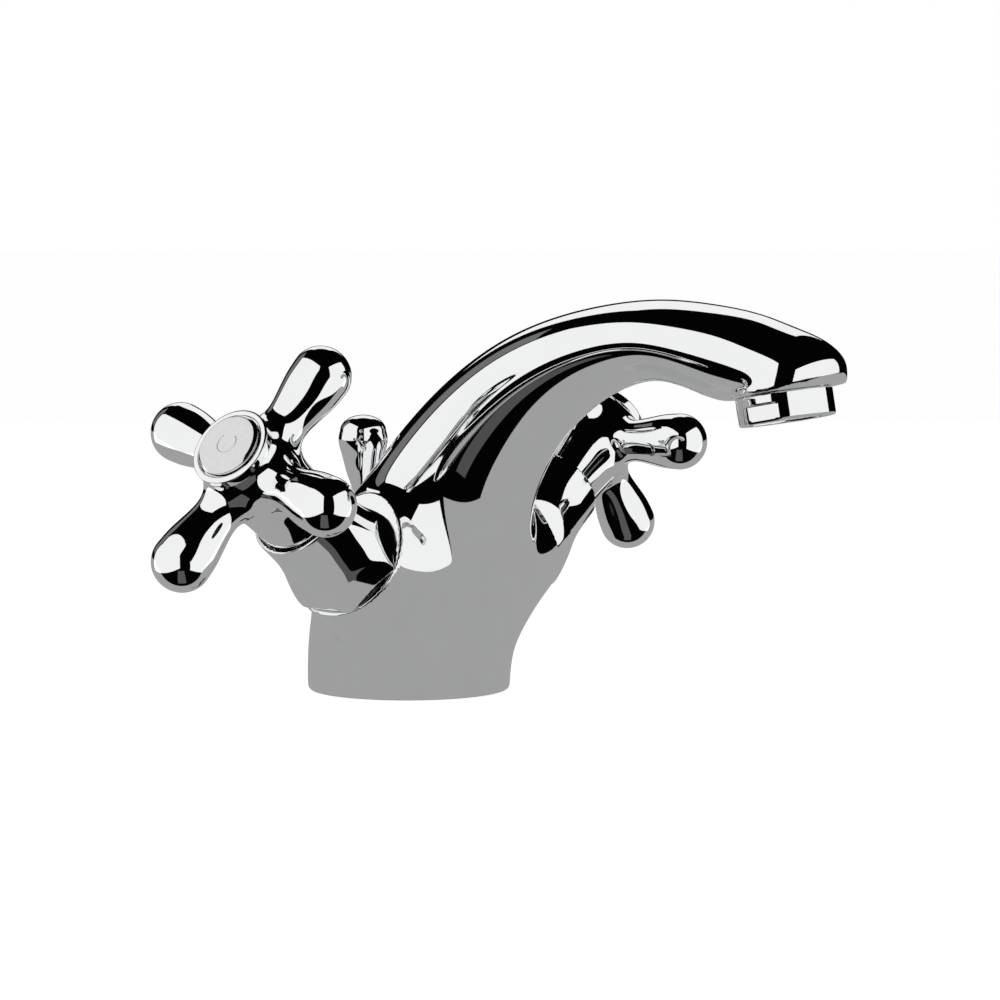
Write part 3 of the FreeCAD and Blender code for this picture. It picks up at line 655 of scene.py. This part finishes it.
def make_knob():
    """The lift rod's knob: a slim neck that swells to a domed head."""
    shape = Curve(
        [KNOB_FOOT, 52.2, 55.7, 60.9, 65.2, 68.8],
        [2.9, 3.05, 4.2, 5.6, 6.5, 5.6],
    )
    heights = np.linspace(KNOB_FOOT + 0.3, KNOB_DOME, 40)
    outline = [(1.2, KNOB_FOOT), (2.6, KNOB_FOOT)]
    outline += [(float(shape(h)[0]), float(h)) for h in heights]
    edge, rise = float(shape(KNOB_DOME)[0]), KNOB_TOP - KNOB_DOME
    dome_steps = 20
    for k in range(1, dome_steps):
        angle = math.pi / 2 * k / dome_steps
        outline.append((edge * math.cos(angle), KNOB_DOME + rise * math.sin(angle)))
    outline.append((0.01, KNOB_TOP))
    matrix = np.eye(4)
    matrix[:3, 3] = (0.0, ROD_Y, 0.0)
    turned_piece("rod_knob", outline, matrix, "lift_rod", "chrome", ["lift_knob"], 96)


make_body()
for side_name in SIDES:
    make_handle(side_name)
    make_bonnet(side_name)
make_aerator()
make_knob()

slot_of_node = {part["node"]: part["material_slot"] for part in frame["record"]["subparts"]}
for name, node in frame["nodes"].items():
    if not node.hide_render:
        dress(node, slot_of_node[name])

# ---------------------------------------------------------------------- stage

def compass(azimuth, elevation):
    """A unit direction: azimuth in degrees from +X towards +Y, elevation above level."""
    a, e = math.radians(azimuth), math.radians(elevation)
    return Vector((math.cos(a) * math.cos(e), math.sin(a) * math.cos(e), math.sin(e)))


AIM = Vector((0.0, -0.03, 0.06))


def lamp_object(name, width, height, radiance, only=()):
    """A soft box that looks as bright in a reflection as radiance says; only limits what it lights."""
    data = bpy.data.lights.new(name, "AREA")
    data.shape = "RECTANGLE"
    data.size, data.size_y = width, height
    data.energy = radiance * math.pi * width * height
    lamp = bpy.data.objects.new(name, data)
    bpy.context.scene.collection.objects.link(lamp)
    lamp.rotation_mode = "QUATERNION"
    lamp.visible_camera = False
    if only:
        receivers = bpy.data.collections.new(name + "_receivers")
        for obj in only:
            receivers.objects.link(obj)
        lamp.light_linking.receiver_collection = receivers
    return lamp


def light_panel(name, azimuth, low, high, distance, width, radiance, only=()):
    """An upright soft box that faces the faucet between two elevations."""
    below, above = (distance * math.tan(math.radians(e)) for e in (low, high))
    lamp = lamp_object(name, width, above - below, radiance, only)
    direction = compass(azimuth, 0.0)
    lamp.location = AIM + direction * distance + Vector((0.0, 0.0, (above + below) / 2))
    lamp.rotation_quaternion = direction.to_track_quat("Z", "Y")


def floor_panel(name, low, high, radiance, only, corner=(0.0, 0.0), turn=0.0):
    """A soft box on the deck that shines up, between two corners of a frame turned about corner."""
    lamp = lamp_object(name, high[0] - low[0], high[1] - low[1], radiance, only)
    spin = Matrix.Rotation(math.radians(turn), 3, "Z")
    middle = Vector(((low[0] + high[0]) / 2, (low[1] + high[1]) / 2, 0.0))
    lamp.location = spin @ middle + Vector((corner[0], corner[1], 0.0002))
    lamp.rotation_quaternion = spin.to_quaternion() @ Vector((0, 0, -1)).to_track_quat("Z", "Y")


def tilted_panel(name, centre, azimuth, elevation, distance, width, height, radiance, only):
    """A soft box square to a direction from centre, in its own place."""
    lamp = lamp_object(name, width, height, radiance, only)
    direction = compass(azimuth, elevation)
    lamp.location = centre + direction * distance
    lamp.rotation_quaternion = direction.to_track_quat("Z", "Y")


def riders(*bodies):
    """The pieces that ride the given bodies."""
    return [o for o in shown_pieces() if o.get("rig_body") in bodies]


handles = riders("left_handle", "right_handle")
fixed = [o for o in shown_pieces() if o not in handles]
covers = [o for o in fixed if o.name.endswith("_cover")]
castings = [o for o in fixed if o not in covers]

BOX = 0.92
# tall soft boxes left and right of the camera, one pair for the fixed pieces and one for the
# handles, then one straight behind the faucet and a dim one behind it to the left
light_panel("left_box", 140.5, -3, 55, 1.0, 1.9, BOX, fixed)
light_panel("right_box", -86, -3, 42, 1.0, 2.65, BOX, fixed)
light_panel("handle_left_box", 154, -31, 55, 1.0, 3.08, BOX, handles)
light_panel("handle_right_box", -72, -31, 42, 1.0, 1.62, BOX, handles)
light_panel("back_box", 38, 20, 52, 1.3, 1.0, BOX)
light_panel("side_fill", 84, 8, 42, 1.0, 0.35, 0.16)

# the pale table as the castings see it, dark beyond a slanting left edge, and as the covers see it
FAR, TABLE = 1.2, 0.36
CORNER, SLANT = (-0.023, -0.1), 32.4
floor_panel("table", (0.0, 0.0), (FAR, FAR), TABLE, castings, CORNER, SLANT)
floor_panel("table_front", (-0.4, -FAR), (FAR, 0.0), TABLE, castings, CORNER, SLANT)
floor_panel("dark_ground", (-0.185, -0.1), (-0.1, -0.015), 0.075, castings)
floor_panel("table_covers", (-FAR, -0.046), (FAR, FAR), TABLE, covers)
floor_panel("table_covers_dim", (-0.066, -0.062), (-0.03, -0.046), 0.08, covers)

# what the handles see below: a dark strip towards the camera, a pale table behind
CAMERA_SIDE = -144.0
for name, side in SIDES.items():
    middle = Vector((side * 0.082, -0.008, 0.075))
    own = riders(name + "_handle")
    tilted_panel(name + "_strip", middle, CAMERA_SIDE, -57, 1.0, 0.42, 1.0, 0.09, own)
    tilted_panel(name + "_behind", middle, CAMERA_SIDE + 180, -42, 1.0, 6.0, 1.72, TABLE, own)


def stage_disc(name, radius, height, emission, colour):
    """A round stage surface at a height."""
    points = [(0.0, 0.0, height)]
    count = 96
    for k in range(count):
        angle = 2 * math.pi * k / count
        points.append((radius * math.cos(angle), radius * math.sin(angle), height))
    faces = [(0, k + 1, (k + 1) % count + 1) for k in range(count)]
    mesh = bpy.data.meshes.new(name)
    mesh.from_pydata(points, [], faces)
    obj = bpy.data.objects.new(name, mesh)
    bpy.context.scene.collection.objects.link(obj)
    made = bpy.data.materials.new(name)
    made.use_nodes = True
    shader = made.node_tree.nodes["Principled BSDF"]
    shader.inputs["Base Color"].default_value = (*colour, 1.0)
    shader.inputs["Roughness"].default_value = 0.9
    shader.inputs["Specular IOR Level"].default_value = 0.0
    shader.inputs["Emission Color"].default_value = (*colour, 1.0)
    shader.inputs["Emission Strength"].default_value = emission
    mesh.materials.append(made)
    return obj


FLOOR_RADIUS, FLOOR_HEIGHT, FLOOR_GLOW, FLOOR_COLOUR = 8.0, -0.0003, 1.04, (0.95, 0.95, 0.95)
floor = stage_disc("floor", FLOOR_RADIUS, FLOOR_HEIGHT, FLOOR_GLOW, FLOOR_COLOUR)
floor.visible_glossy = False
floor.visible_shadow = False

# white to the camera, almost black to everything else
ROOM = 0.001
world = bpy.data.worlds.new("studio")
bpy.context.scene.world = world
world.use_nodes = True
tree = world.node_tree
background = tree.nodes["Background"]
background.inputs["Color"].default_value = (ROOM, ROOM, ROOM, 1.0)
pale = tree.nodes.new("ShaderNodeBackground")
pale.inputs["Color"].default_value = (1.0, 1.0, 1.0, 1.0)
pale.inputs["Strength"].default_value = 1.0
path = tree.nodes.new("ShaderNodeLightPath")
either = tree.nodes.new("ShaderNodeMixShader")
tree.links.new(path.outputs["Is Camera Ray"], either.inputs["Fac"])
tree.links.new(background.outputs["Background"], either.inputs[1])
tree.links.new(pale.outputs["Background"], either.inputs[2])
tree.links.new(either.outputs["Shader"], tree.nodes["World Output"].inputs["Surface"])

bpy.context.scene.view_settings.view_transform = "Standard"

# --------------------------------------------------------------------- camera

AZIMUTH, ELEVATION = math.radians(-54.081), math.radians(4.327)
LENS = 145.2
SIDEWAYS, UPWARDS, DISTANCE = 23.95, 49.57, 1060.0
across = Vector((math.cos(AZIMUTH), math.sin(AZIMUTH), 0.0))
back = Vector((math.sin(AZIMUTH) * math.cos(ELEVATION),
               -math.cos(AZIMUTH) * math.cos(ELEVATION), math.sin(ELEVATION)))
rise = back.cross(across)
camera_data = bpy.data.cameras.new("camera")
camera_data.sensor_width = 36.0
camera_data.lens = LENS
camera = bpy.data.objects.new("camera", camera_data)
bpy.context.scene.collection.objects.link(camera)
camera.location = (across * SIDEWAYS + rise * UPWARDS + back * DISTANCE) * MM
camera.rotation_mode = "QUATERNION"
camera.rotation_quaternion = Matrix((across, rise, back)).transposed().to_quaternion()
camera_data.clip_start, camera_data.clip_end = 0.05, 50.0
bpy.context.scene.camera = camera
